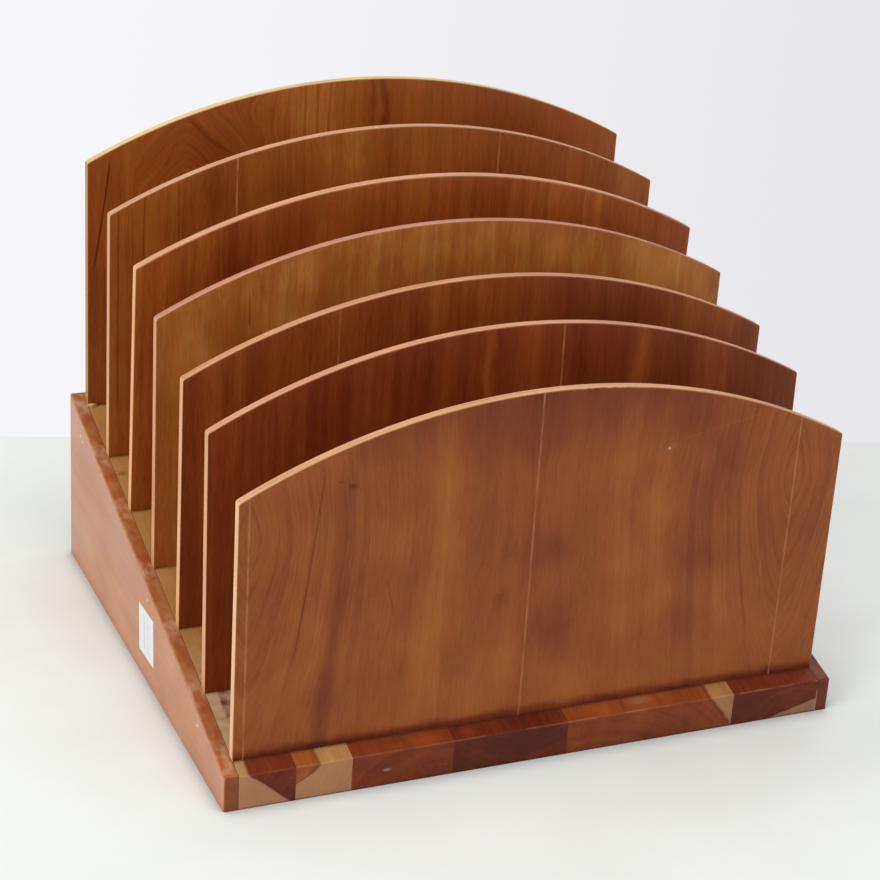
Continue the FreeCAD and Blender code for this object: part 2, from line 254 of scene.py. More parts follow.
def ring_lines(finish, distance, seed, spacing=RING_SPACING):
    """Thin dark lines across a distance in millimetres, unevenly spaced; 0 to 1."""
    steps = finish.math("DIVIDE", distance, spacing)
    slow = finish.math("MULTIPLY_ADD", steps, DRIFT_PACE, seed)
    uneven = finish.add("ShaderNodeTexNoise", (("W", slow), ("Scale", 1.0), ("Detail", 2.0)),
                        noise_dimensions="1D")
    pushed = finish.math("MULTIPLY_ADD", uneven, YEARS_ADRIFT, steps)
    season = finish.math("FRACT", pushed)
    growth = finish.math("POWER", season, SHARPNESS)
    winter = finish.fade(season, 0.95, 1.0, 1.0, 0.0)
    return finish.product(growth, winter)


print("rings about %.1f mm apart" % RING_SPACING)

# %% [markdown]
# ## Fibres, streaks and clouds
#
# Close up, cherry is fine upright fibres with short dark pores. From a metre away one sees broad
# streaks and soft clouds where the grain dips in and out of the face. These are the same noise at
# different stretches, so one helper adds all of them, and each board only changes how strong they
# are. In some bands the heartwood is also redder at the same tone, which is a tint over the paint.

# %% Wood tone
FIBRE_SIZE = (0.6, 0.6, 9.0)
STREAK_SIZE = (3.0, 3.0, 170.0)
BROAD_STREAK_SIZE = (12.0, 12.0, 420.0)
CLOUD_SIZE = (26.0, 26.0, 40.0)
PORE_SIZE = (0.4, 0.4, 3.0)
RED_BAND_SIZE = (9.0, 9.0, 160.0)
REDDER = (1.0, 0.84, 0.74, 1.0)
FLUSH = 0.8


def wood_tone(finish, place, seed, lively=1.0, cloud=0.10):
    """The fine and coarse grain about zero, for a place given as across, through, along."""
    return finish.total(
        finish.grain(place, FIBRE_SIZE, 0.05 + 0.05 * lively, seed, 3.0),
        finish.grain(place, STREAK_SIZE, 0.07 * lively, seed + 3.1),
        finish.grain(place, BROAD_STREAK_SIZE, 0.12 * lively, seed + 5.3),
        finish.grain(place, CLOUD_SIZE, cloud, seed + 8.7, 4.0),
    )


def pores(finish, place, seed):
    """Short dark dashes along the grain; 0 to 1."""
    dashes = finish.grain(place, PORE_SIZE, 0.5, seed + 11.0, 0.0)
    return finish.fade(dashes, 0.14, 0.30)


def flush(finish, place, seed, paint, amount=FLUSH):
    """Bands where the heartwood is redder at the same tone."""
    swing = finish.grain(place, RED_BAND_SIZE, 0.5, seed + 15.0)
    bands = finish.fade(swing, -0.13, 0.15, 0.0, amount)
    return finish.blend(bands, paint, REDDER, way="MULTIPLY")


print("grain helpers ready")

# %% [markdown]
# ## What is special about each panel
#
# The veneer was sliced from one block and laid leaf beside leaf, so every face repeats about every
# 147 mm, with a thin pale glue line between leaves. What tells the seven panels apart:
#
# - joint and leaf: where one joint lies from the middle, and how wide a leaf is.
# - tone, red, gold, cloud, lively, flush: the base tone and how strong each part of the grain is.
# - edge and side: the sawn edge along the arch and along the upright sides; the side colour is
#   painted lighter or darker for how the window light falls on it.
# - glue: how clearly the glue line shows at this joint and at the others.
# - heart: where the rings' middle lies (across, up), how they bow, how pointed they are, how far
#   they climb from leaf to leaf and how much they sway. line is how dark they are.
# - the foot's grime and shade: how high dirt and painted shade reach at the foot, and how dark.
# - patches: soft ellipses. Middle across and up, two radii, how much they lighten (minus: darken).
#   The ones far at the left, and the first on panel 5, are painted shade on the strips between
#   panels.
# - marks: thin lines. Top, end, bow, half width, how much they darken (minus: lighten).
# - scuffs: rubbed spots, as patches. chips: the middle and half width of a flaked stretch of rim.

# %% The panels
PLAIN_HEART = (-200, 120, 7.0, 0.0, 0, 3.0)
USUAL = {"leaf": 147.2, "lively": 1.0, "flush": FLUSH, "heart": PLAIN_HEART,
         "foot_grime_and_shade": (2.0, -0.06), "marks": (), "scuffs": (), "chips": None}
SPECIAL = {
    1: {"joint": -157.5, "tone": 0.485, "red": 0.05, "gold": 0.32, "cloud": 0.12,
        "lively": 0.5, "flush": 0.45, "edge": "cf9c73", "side": "dfb388", "glue": (0.45, 0.5),
        "heart": (-8, 118, 12.0, 0.0, 0, 3.5), "line": 0.08, "foot_grime_and_shade": (7.0, -0.26),
        "chips": (26, 22),
        "patches": (
            (0, 205, 200, 76, -0.23), (20, 0, 190, 50, 0.06), (-5, 95, 40, 60, -0.04),
            (-34, 130, 30, 70, -0.045), (-65, 40, 16, 60, 0.07), (-54, 100, 14, 150, 0.04),
            (57, 95, 14, 90, 0.07), (38, 47, 18, 22, 0.06), (43, 80, 20, 26, 0.05),
            (67, 60, 12, 20, 0.05), (-21, 38, 12, 40, 0.05), (4, 46, 20, 28, -0.085),
            (12, 34, 14, 14, -0.05), (3, 92, 16, 16, -0.06), (92, 118, 24, 46, -0.09),
            (95, 150, 50, 20, -0.05), (91, 74, 36, 20, -0.06), (82, 42, 20, 24, -0.06),
            (-25, 69, 9, 10, -0.07), (-118, 28, 14, 28, -0.06), (-107, 139.5, 3.4, 2.2, -0.17),
            (-113.5, 142.4, 2.6, 1.3, -0.16)),
        "marks": (
            (-120.5, 152, -134, 46, 0.7, 0.9, 0.13), (102, 126, 121, 20, -1.5, 0.9, 0.055),
            (-87, 89, -82, 66, 0.0, 1.0, 0.06), (-108, 165, -124, -30, 3.0, 9.0, 0.09),
            (-58, 170, -58, 5, 0.0, 2.4, -0.04), (114, 153.5, 66, 143.8, 0.0, 1.6, -0.10)),
        "scuffs": ((61.5, 140, 1.1, 1.3, 0.7), (63.5, 141, 5, 3, 0.07))},
    2: {"joint": 23.0, "tone": 0.375, "red": 0.45, "gold": 0.3, "cloud": 0.08,
        "edge": "cf9573", "side": "d39974", "glue": (0.7, 0.0), "line": 0.05,
        "patches": (
            (-18, 150, 6, 90, 0.16), (67, 150, 9, 90, 0.18), (10, 150, 26, 90, 0.09),
            (34, 150, 14, 90, -0.02), (110, 150, 22, 90, 0.11), (-42, 150, 8, 90, 0.09),
            (-80, 150, 14, 90, 0.06), (-110, 150, 9, 90, -0.05), (-152, 130, 12, 90, 0.03))},
    3: {"joint": -82.0, "tone": 0.445, "red": 0.35, "gold": 0.4, "cloud": 0.08,
        "lively": 1.1, "edge": "c68d6a", "side": "d8a376", "glue": (0.45, 0.0),
        "heart": (-220, 120, 7.0, 0.0, 0, 3.0), "line": 0.05,
        "patches": (
            (-145, 90, 10, 160, 0.06), (-112, 90, 20, 160, 0.03), (68, 150, 40, 90, -0.06),
            (-46, 150, 5, 60, 0.05), (-26, 165, 10, 60, 0.08), (0, 165, 14, 60, 0.07),
            # the last patch, at -165 across, is painted shade on the narrow left strip seen between
            # the panels
            (26, 165, 12, 60, 0.04), (132, 150, 32, 60, 0.09), (-165, 80, 14, 160, -0.09))},
    4: {"joint": -12.0, "tone": 0.622, "red": 0.18, "gold": 0.35, "cloud": 0.22,
        "lively": 0.9, "edge": "bc816a", "side": "ca8d66", "glue": (0.5, 0.0),
        "heart": (-260, 120, 7.0, 0.0, 0, 4.0), "line": 0.05,
        "patches": (
            (-94, 160, 5, 60, 0.05), (-82, 158, 13, 22, 0.10), (-64, 160, 6, 60, -0.04),
            (-46, 160, 9, 60, 0.04), (14, 164, 12, 18, 0.06), (56, 160, 12, 18, 0.09),
            (78, 160, 14, 20, 0.05), (-24, 160, 8, 60, 0.04), (-3, 160, 4, 60, -0.04),
            # the last patch, at -165 across, is painted shade on the narrow left strip seen between
            # the panels
            (95, 160, 9, 60, -0.03), (125, 150, 44, 60, 0.13), (-165, 80, 16, 160, -0.05)),
        "marks": ((-113.5, 150, -113.5, 132, 0.0, 0.9, 0.16),)},
    5: {"joint": 35.0, "tone": 0.54, "red": 0.62, "gold": 0.5, "cloud": 0.10,
        "lively": 1.4, "edge": "d29774", "side": "e1a575", "glue": (0.12, 0.0), "line": 0.06,
        "patches": (
            # the first patch, at -108 across, is painted shade on the left part seen between the
            # panels
            (-108, 130, 26, 90, -0.19), (-30, 160, 30, 60, -0.07), (70, 160, 20, 60, 0.04),
            (75, 160, 6, 60, 0.05), (101, 160, 4, 60, 0.08), (115, 150, 12, 60, -0.05),
            (-145, 130, 14, 90, 0.05), (-58, 160, 6, 60, 0.05), (152, 130, 16, 60, 0.06),
            # the last patch, at -165 across, is painted shade on the narrow left strip seen between
            # the panels
            (-165, 80, 12, 160, -0.06))},
    6: {"joint": -92.0, "leaf": 155.0, "tone": 0.54, "red": 0.22, "gold": 0.6, "cloud": 0.12,
        "edge": "cd9a79", "side": "cf9f74", "glue": (1.0, 0.6),
        "heart": (-120, 120, 7.0, 0.0, 0, 3.0), "line": 0.08,
        "patches": (
            (-104, 150, 12, 60, -0.10), (-60, 160, 20, 60, -0.05), (-30, 170, 16, 60, 0.06),
            (18, 170, 20, 60, 0.05), (40, 160, 8, 60, -0.03), (84, 160, 18, 60, -0.06),
            # the last patch, at -165 across, is painted shade on the narrow left strip seen between
            # the panels
            (148, 140, 22, 60, 0.01), (-165, 80, 12, 160, -0.03)),
        "marks": (
            (-158, 160, -158, 20, 0.0, 1.0, 0.14), (-151, 165, -150, 20, 0.6, 0.9, 0.08),
            (-143, 168, -144, 30, -0.8, 1.0, 0.13), (-125, 172, -125, 60, 0.5, 1.0, 0.12))},
    7: {"joint": 10.3, "tone": 0.57, "red": 0.40, "gold": 0.45, "cloud": 0.10,
        "edge": "e2bf88", "side": "a18556", "glue": (0.0, 0.0),
        "heart": (118, 545, 0.0, 0.9, 400, 6.0), "line": 0.07,
        "patches": (
            (3.4, 160, 2.6, 200, -0.10), (10.2, 160, 3.8, 200, -0.17), (-30, 165, 30, 60, 0.13),
            # the last patch, at -165 across, is painted shade on the narrow left strip seen between
            # the panels
            (85, 160, 60, 90, -0.07), (-90, 150, 30, 50, -0.03), (-165, 80, 26, 160, -0.10)),
        "marks": (
            (-150, 146, -160, 78, 0.5, 0.9, 0.28), (-106, 170, -76, 143, -5.0, 3.2, 0.08),
            (-110, 155, -93, 139, 2.5, 2.6, 0.08), (-110.5, 154, -119, 139, -1.0, 2.6, 0.06),
            (-38, 186, -37, 130, 0.5, 1.2, 0.10), (-30, 186, -30, 130, 0.4, 1.0, 0.10),
            (-22, 186, -23, 130, -0.5, 1.2, 0.12), (-14, 186, -14, 130, 0.3, 1.0, 0.08))},
}
PANELS = {number: {**USUAL, **special} for number, special in SPECIAL.items()}
print("leaf joints at", [panel["joint"] for panel in PANELS.values()])


# %% Soft patches and thin marks
def patch(finish, face, middle_x, middle_h, radius_x, radius_h, amount):
    """A soft ellipse on the face, worth amount in its middle."""
    squeeze = (1 / radius_x, 1 / radius_h, 0.0)
    centred = finish.vector("MULTIPLY_ADD", face, squeeze,
                            (-middle_x / radius_x, -middle_h / radius_h, 0.0))
    reach = finish.vector("LENGTH", centred, output="Value")
    return finish.fade(reach, 0.0, 1.0, amount, 0.0)


def mark(finish, across, height, x_top, h_top, x_end, h_end, bow, width, amount):
    """A thin line from one point down to another; it fades towards both ends."""
    down = finish.add("ShaderNodeMapRange", enumerate((height, h_top, h_end)))
    hump = finish.product(down, finish.math("SUBTRACT", 1.0, down))
    straight = finish.math("MULTIPLY_ADD", down, x_end - x_top, x_top)
    line = finish.math("MULTIPLY_ADD", hump, 4 * bow, straight)
    core = finish.fade(finish.gap(across, line), 0.0, width, -amount, 0.0)
    ends = finish.fade(hump, 0.0, 0.12)
    return finish.product(core, ends)


print("patches:", sum(len(panel["patches"]) for panel in PANELS.values()))

# %% [markdown]
# ## Where a panel stands
#
# Some panels lean a degree or two, as hand-glued ones do. The pattern has to lean with them, so
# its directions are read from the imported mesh: the largest polygon that faces forward gives the
# way into the panel, and from that follows the way up it.

# %% Panel directions
DADO_DEPTH = 6.0


def panel_frame(number):
    """Foot point of the front face, the way up the panel and the way into it."""
    mesh = NODES["front_veneer_%d" % number].data
    front = min(mesh.polygons, key=lambda polygon: polygon.normal.y * polygon.area)
    inward = -front.normal
    up = Vector((0.0, -inward.z, inward.y)).normalized()
    lowest = min(mesh.vertices, key=lambda vertex: (vertex.co - front.center).dot(up))
    height_below = (lowest.co - front.center).dot(up) + DADO_DEPTH * MM
    foot = front.center + up * height_below
    foot.x = 0.0
    return foot, up, inward


for number in PANELS:
    foot, up = panel_frame(number)[:2]
    print("panel", number, "foot y %.1f z %.1f mm" % (foot.y / MM, foot.z / MM),
          "lean %.1f deg" % math.degrees(math.atan2(up.y, up.z)))

# %% [markdown]
# ## The panels' sawn edges
#
# The arch and the sides are end grain that takes no colour, so they stay pale. They show the thin
# layers of the panel, a yellower line at the front veneer and a few pale chips. The upright sides
# have a colour of their own, painted lighter or darker for how the window light falls on them. The
# same paint serves the core and the edges of both veneers, so a panel's edge reads as one sawn
# surface.

# %% Sawn edges
EDGE_VENEER = colour("d59a52")
CHIP = colour("f0dcc0")


def edge_paint(finish, place, depth, seed, panel):
    """Sawn edge of a panel: pale, in thin layers, yellower at the front, with small chips."""
    upright = finish.math("ABSOLUTE", finish.facing(RIGHT))
    # the upright sides take their own colour: painted light or shade for how the window light falls
    tint = finish.blend(finish.fade(upright, 0.7, 0.95), colour(panel["edge"]),
                        colour(panel["side"]))
    layers = finish.grain(place, (60.0, 0.55, 60.0), 0.5, seed, 1.0)
    speckle = finish.grain(place, (1.1, 0.5, 1.1), 0.22, seed + 2.0, 3.0)
    slow = finish.grain(place, (30.0, 9.0, 30.0), 0.30, seed + 4.0, 2.0)
    amount = finish.total(layers, speckle, slow, 0.55)
    shade = finish.fade(amount, 0.1, 0.9, 0.62, 1.12)
    paint = finish.add("ShaderNodeVectorMath", ((0, tint), ("Scale", shade)), operation="SCALE")
    paint = finish.blend(finish.fade(depth, 0.6, 2.0, 0.45, 0.0), paint, EDGE_VENEER)
    chips = finish.fade(finish.grain(place, (2.4, 2.4, 2.4), 0.5, seed + 6.0, 1.0), 0.27, 0.33)
    return finish.blend(chips, paint, CHIP)


def core_finish(number):
    """The core of a panel, which shows only along its sawn edges."""
    foot, up, inward = panel_frame(number)
    finish = Finish("core_edge_%d" % number, 0.55, 0.3)
    place, parts = finish.place(foot, RIGHT, inward, up)
    seed = number * 2.3
    paint = edge_paint(finish, place, parts[1], seed, PANELS[number])
    return finish.wire(paint, finish.grain(place, (1.2, 0.4, 1.2), 0.5, seed), 0.06)


for number in PANELS:
    dress("divider_core_%d" % number, core_finish(number))
print("core edges:", len(PANELS))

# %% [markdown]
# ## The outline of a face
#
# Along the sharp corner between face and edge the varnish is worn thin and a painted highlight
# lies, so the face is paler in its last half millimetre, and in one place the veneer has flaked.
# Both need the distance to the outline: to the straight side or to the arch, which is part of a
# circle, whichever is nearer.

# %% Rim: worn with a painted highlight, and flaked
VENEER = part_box("front_veneer_1")
HALF_WIDTH = (VENEER[1].x - VENEER[0].x) / 2 / MM
RISE = 40.5
ARCH_RADIUS = (HALF_WIDTH ** 2 + RISE ** 2) / (2 * RISE)
SIDE_MARGIN = 0.3
RIM_WIDTH = 0.8
FLAKED = colour("dcb296")


def rim_distance(finish, across, height, crown):
    """Millimetres from the outline of the face; crown is the height of its top."""
    to_side = finish.math("SUBTRACT", HALF_WIDTH + SIDE_MARGIN, finish.math("ABSOLUTE", across))
    below = finish.total(height, ARCH_RADIUS - crown)
    to_arch = finish.math("SUBTRACT", ARCH_RADIUS, finish.hypot(across, below))
    return finish.math("MINIMUM", to_side, to_arch)


def flakes(finish, place, across, rim, middle, half):
    """Flakes out of the face along the arch, within half of the middle."""
    near = finish.fade(finish.gap(across, middle), 0.6 * half, half, 0.6, 0.0)
    ragged = finish.fade(finish.grain(place, (3.5, 3.5, 3.5), 0.5, 20.0), -0.04, 0.10)
    at_rim = finish.fade(rim, 0.2, 1.0, 1.0, 0.0)
    return finish.product(ragged, at_rim, near)


print("arch radius %.0f mm" % ARCH_RADIUS)

# %% [markdown]
# ## Leaves, rings and glue
#
# One recipe makes all faces. It folds the distance across the panel back and forth at the joints,
# which mirrors each leaf in its neighbour, like the pages of a book. Each leaf is one slice deeper
# in the block, so its figure is like its neighbour's but not the same. The rings are rounded cones
# around a heart. A back face has its heart far outside, and shows plain grain.

# %% Leaves and rings
SLICE = 0.9
ROUND = 12.0
TIP = 5.0
GLUE_LINE = colour("b87c4e")


def nested_cones(finish, leaf_place, in_leaf, height, slice_number, heart, seed):
    """Distance across the rings, and distance from their heart, in one leaf."""
    heart_across, heart_height, bow, cone, climb, sway = heart
    wander = finish.grain(leaf_place, (36.0, 36.0, 80.0), sway, seed + 1.0)
    aside = finish.total(in_leaf, wander, -heart_across)
    above = finish.math("MULTIPLY_ADD", slice_number, -climb,
                        finish.math("SUBTRACT", height, heart_height))
    reach = finish.hypot(aside, above)
    rise = finish.math("SQRT", finish.math("MULTIPLY_ADD", finish.hypot(above, ROUND), bow,
                                           TIP * TIP - bow * ROUND))
    peak = finish.product(above, finish.fade(reach, 22.0, 66.0, cone, 0.0))
    return finish.total(finish.hypot(aside, rise), peak), reach


def dark_rings(finish, leaf_place, radius, reach, depth, seed):
    """The rings' dark lines, strongest near the heart and patchy; zero or less."""
    near_heart = finish.fade(reach, 45.0, 120.0, -depth, -0.25 * depth)
    patchy = finish.fade(finish.grain(leaf_place, (9.0, 9.0, 60.0), 0.5, seed + 2.0), -0.3, 0.0)
    return finish.product(ring_lines(finish, radius, seed), near_heart, patchy)


def glue_line(finish, place, from_joint, panel, seed):
    """1 in the glue between two leaves, broken up along its length."""
    to_joint = finish.math("PINGPONG", from_joint, panel["leaf"] / 2)
    away = finish.math("ABSOLUTE", from_joint)
    strength = finish.fade(away, 30.0, 40.0, *panel["glue"])
    beside = finish.product(finish.fade(to_joint, 0.2, 0.75), strength)
    swing = finish.grain(place, (2.0, 2.0, 9.0), 0.5, seed + 9.0, 4.0)
    broken = finish.fade(swing, -0.14, 0.10, 0.35, 1.0)
    return finish.product(finish.math("SUBTRACT", strength, beside), broken)


print("slices %.1f mm apart" % SLICE)

# %% [markdown]
# ## The veneered faces
#
# Now the sum can be written down. Grain that follows the rings, dark ring lines, dirt and painted
# shade at the foot, patches (a few of them painted shade), marks and pores make the tone. It becomes
# paint, and over the paint lie scuffs, glue, the rim, worn and with a painted highlight, and, where
# the surface turns away, the sawn edge.

# %% Veneer recipe
SCUFFED = colour("cdb0a0")
SEED_STEP = 3.7
BACK_SEED = 41.0


def face_facts(number, side):
    """What is special about a face. A back face shows only its panel's wood, joints and edges."""
    panel = PANELS[number]
    if side == "front":
        return panel
    return {**panel, "heart": PLAIN_HEART, "patches": (), "marks": (), "scuffs": (), "chips": None}


def own_tones(finish, place, across, height, panel, seed):
    """The panel's base tone, the dirt and painted shade at its foot, and each of its patches and
    marks.
    """
    crept = finish.total(height, finish.grain(place, (14.0, 14.0, 5.0), 3.0, seed + 7.0))
    # darker at the foot: dirt, and painted shade where the panel meets the floor
    foot_grime_and_shade = finish.fade(crept, 0.0, *panel["foot_grime_and_shade"], 0.0)
    drift = finish.grain(place, (14.0, 14.0, 22.0), 5.0, seed + 6.0, 3.0)
    face = finish.point(finish.total(across, drift), height)
    patches = [patch(finish, face, *row) for row in panel["patches"]]
    marks = [mark(finish, across, height, *row) for row in panel["marks"]]
    return (foot_grime_and_shade, panel["tone"], *patches, *marks)


def crown_height(number, foot):
    """How far the top of the arch is above the foot point, in millimetres."""
    mesh = NODES["front_veneer_%d" % number].data
    return (max(vertex.co.z for vertex in mesh.vertices) - foot.z) / MM


def veneer_finish(number, side):
    """The finish of one veneered face; side is front or back."""
    panel = face_facts(number, side)
    seed = number * SEED_STEP + (0.0 if side == "front" else BACK_SEED)
    foot, up, inward = panel_frame(number)
    finish = Finish("%s_veneer_%d" % (side, number), 0.42, 0.22)
    place, (across, depth, height) = finish.place(foot, RIGHT, inward, up)
    from_joint = finish.math("SUBTRACT", across, panel["joint"])
    in_leaf = finish.math("PINGPONG", from_joint, panel["leaf"])
    slice_number = finish.math("FLOOR", finish.math("DIVIDE", from_joint, panel["leaf"]))
    in_block = finish.math("MULTIPLY_ADD", slice_number, SLICE, depth)
    leaf_place = finish.point(in_leaf, in_block, height)

    radius, reach = nested_cones(finish, leaf_place, in_leaf, height, slice_number,
                                 panel["heart"], seed)
    bent = finish.point(radius, in_block, height)
    tone = finish.total(wood_tone(finish, bent, seed, panel["lively"], panel["cloud"]),
                        dark_rings(finish, leaf_place, radius, reach, panel["line"], seed),
                        *own_tones(finish, place, across, height, panel, seed))
    dashes = pores(finish, leaf_place, seed)
    tone = finish.math("MULTIPLY_ADD", dashes, -0.04, tone)
    paint = finish.ramp(tone, scale(CHERRY, panel["red"], panel["gold"]))
    paint = flush(finish, bent, seed, paint, panel["flush"])

    bare_face = finish.point(across, height)
    for row in panel["scuffs"]:
        paint = finish.blend(patch(finish, bare_face, *row), paint, SCUFFED)
    glue = glue_line(finish, place, from_joint, panel, seed)
    paint = finish.blend(glue, paint, GLUE_LINE)
    rim = rim_distance(finish, across, height, crown_height(number, foot))
    # paler along the outline: worn varnish and a painted highlight on the arris
    worn_and_highlit_rim = finish.fade(rim, 0.1, RIM_WIDTH, 0.55, 0.0)
    paint = finish.blend(worn_and_highlit_rim, paint, colour(panel["edge"]))
    if panel["chips"]:
        flaked = flakes(finish, place, across, rim, *panel["chips"])
        paint = finish.blend(flaked, paint, FLAKED)
    sawn = finish.fade(finish.math("ABSOLUTE", finish.facing(inward)), 0.4, 0.7, 1.0, 0.0)
    paint = finish.blend(sawn, paint, edge_paint(finish, place, depth, seed, panel))

    relief = finish.total(finish.grain(bent, (0.6, 0.6, 24.0), 0.5, seed + 12.0),
                          finish.product(dashes, -0.8), finish.product(glue, 0.8))
    return finish.wire(paint, relief, 0.03)


for number in PANELS:
    for side in ("front", "back"):
        dress("%s_veneer_%d" % (side, number), veneer_finish(number, side))
print("veneered faces:", 2 * len(PANELS))

# %% [markdown]
# ## Solid cherry
#
# The floor is glued up from six staves and the rails are sawn from a plank. In solid wood the same
# ring shows on the top as a streak and on the end as an arc, so the rings are measured from the
# pith, a line through the tree that can lie outside the board: its place across and through the
# board, and its tilt. Four staves show sapwood, the pale outer wood. Its border is a plain curve:
# where it lies at the top and at the bottom of the board, how bent it is, how it drifts along the
# stave, which side of it is pale, and how pale.

# %% Solid wood recipe
BOARD = 18.0
SOLID_SPACING = 4.0
BORDER_STAIN = colour("4a2014")
SAPWOOD_END = colour("a9745a")


def pith_rings(finish, place, parts, pith, seed, lively, on_end):
    """Two tones: the ring lines around the pith, and the broad years on end grain."""
    across, through, along = parts
    pith_across, pith_through, tilt = pith
    sway = finish.grain(place, (60.0, 60.0, 200.0), 6.0, seed)
    off_across = finish.total(across, sway, -pith_across)
    off_through = finish.math("MULTIPLY_ADD", along, tilt,
                              finish.math("SUBTRACT", through, pith_through))
    radius = finish.hypot(off_across, off_through)
    line_depth = finish.math("MULTIPLY_ADD", on_end, -0.02 * lively, -0.06 * lively)
    lines = ring_lines(finish, radius, seed, SOLID_SPACING)
    years = finish.grain(finish.point(radius), (7.0, 1.0, 1.0), 0.10, seed + 21.0)
    return (finish.product(lines, line_depth),
            finish.product(on_end, finish.total(years, -0.05)))


def add_sapwood(finish, paint, place, parts, grain, border, seed, on_end):
    """Pale sapwood past a curved and stained border, with the same grain as the rest."""
    across, through, along = parts
    at_top, at_bottom, power, drift, pale_side, pale_tone = border
    sunk = finish.math("POWER", finish.math("MAXIMUM", through, 0.0), power)
    reach = (at_bottom - at_top) / BOARD ** power
    edge = finish.math("MULTIPLY_ADD", sunk, -reach, -at_top)
    edge = finish.math("MULTIPLY_ADD", finish.product(along, along), -drift, edge)
    ragged = finish.grain(place, (9.0, 9.0, 60.0), 2.6, seed + 2.0, 3.0)
    past = finish.product(finish.total(across, ragged, edge), pale_side)
    stain = finish.fade(finish.math("ABSOLUTE", past), 0.0, 3.2, 0.45, 0.0)
    paint = finish.blend(stain, paint, BORDER_STAIN)
    pale = finish.ramp(finish.math("MULTIPLY_ADD", grain, 1.5, pale_tone), scale(SAPWOOD))
    pale = finish.blend(finish.product(on_end, 0.45), pale, SAPWOOD_END)
    return finish.blend(finish.fade(past, -0.8, 1.4), paint, pale)


def solid_finish(name, origin, axes, wood, pith, seed, border=None, lively=0.7, gloss=0.2,
                 roughness=0.40):
    """Solid cherry. wood is its tone and redness, axes are across, through and along."""
    finish = Finish(name, roughness, gloss)
    place, parts = finish.place(origin, *axes)
    on_end = finish.fade(finish.math("ABSOLUTE", finish.facing(axes[2])), 0.5, 0.8)
    grain = finish.total(wood_tone(finish, place, seed, lively),
                         *pith_rings(finish, place, parts, pith, seed, lively, on_end))
    dashes = pores(finish, place, seed)
    tone, red = wood
    shade = finish.math("MULTIPLY_ADD", dashes, -0.05, finish.total(grain, tone))
    paint = flush(finish, place, seed, finish.ramp(shade, scale(CHERRY, red)))
    if border:
        paint = add_sapwood(finish, paint, place, parts, grain, border, seed, on_end)
    relief = finish.total(finish.grain(place, (0.5, 0.5, 20.0), 0.5, seed + 12.0),
                          finish.product(dashes, -0.8))
    return finish, place, parts, paint, relief


print("solid wood ready, board %.0f mm" % BOARD)

# %% [markdown]
# ## The floor's staves
#
# All staves share one frame: across the floor, down through the board, and uphill along it. Over
# the wood lies what knows nothing of staves. Dust fills the first slots and thins out towards the
# rear; dirt and painted shade darken the foot of each panel, and dirt the edge that stands on the
# table; the front's top corner is rubbed pale and carries a painted highlight; and a seam runs along
# each rail. A stave's spots are soft patches of another colour on its top: middle across and along,
# two radii, strength and colour. A scuff is a rubbed patch on its front.

# %% Floor frame and staves
SLOPE = math.radians(15.6)
UPHILL = Vector((0.0, math.cos(SLOPE), math.sin(SLOPE)))
DOWNWARD = Vector((0.0, math.sin(SLOPE), -math.cos(SLOPE)))
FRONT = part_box("floor_stave_1")[0].y
FRONT_TOP = BOARD * MM / math.cos(SLOPE)
FLOOR_ORIGIN = Vector((0.0, FRONT, FRONT_TOP))
FLOOR_AXES = (RIGHT, DOWNWARD, UPHILL)
RAIL_INSIDE = -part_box("floor_stave_1")[0].x / MM
PITCH = (panel_frame(2)[0].y - panel_frame(1)[0].y) / MM
FIRST_PANEL = (panel_frame(1)[0].y - FRONT) / MM
SECOND_PANEL = FIRST_PANEL + PITCH
HALF_PANEL = 2.5
STAVES = {
    1: {"wood": (0.33, 0.5), "pith": (-175, -30, 0.02),
        "border": (-158, -135, 1.0, 9e-4, -1, 0.50),
        "spots": ((-159, 232, 4, 3, 0.6, "6b3018"),)},
    2: {"wood": (0.56, 0.0), "pith": (-150, -14, 0.02),
        "border": (-121.5, -170, 2.0, 0.0, 1, 0.50)},
    3: {"wood": (0.385, 0.4), "pith": (-60, 60, 0.03),
        "spots": ((-62, 4, 13, 6, 0.5, "a0461a"), (-80, 3, 8, 4, 0.3, "a0461a")),
        "scuff": (-85.6, 8.7, 3.4, 1.3, 0.35)},
    4: {"wood": (0.27, 0.4), "pith": (-10, -40, -0.02),
        "spots": ((-41, 5, 7, 6, 0.5, "96401a"),)},
    5: {"wood": (0.44, 0.3), "pith": (30, 90, 0.05),
        "border": (97.5, 110.5, 1.0, 0.0, 1, 0.33),
        "spots": ((57, 7, 10, 5, 0.30, "a08462"), (28, 5, 16, 6, 0.35, "a84c1e"))},
    6: {"wood": (0.30, 0.4), "pith": (150, 50, 0.02),
        "border": (204.5, 131.6, 1.0, 0.0, 1, 0.23)},
}
print("panels every %.1f mm, the first at %.1f mm" % (PITCH, FIRST_PANEL))

# %% Dust, dirt, wear, painted shade and painted highlight
DUST = colour("c6a788")
GOLDEN = (1.0, 0.86, 0.62, 1.0)
FOOT_DIRT_AND_SHADE = colour("35170c")
SOLE_DIRT = colour("2e160c")
RUBBED_AND_HIGHLIGHT = colour("c9957c")
SEAM = colour("3a1d12")
SEAM_FILLER = colour("c9a57c")


def to_panel_middle(finish, rearward):
    """Distance in millimetres from the middle of the nearest panel."""
    from_first = finish.math("SUBTRACT", rearward, FIRST_PANEL + HALF_PANEL)
    return finish.math("PINGPONG", from_first, PITCH / 2)


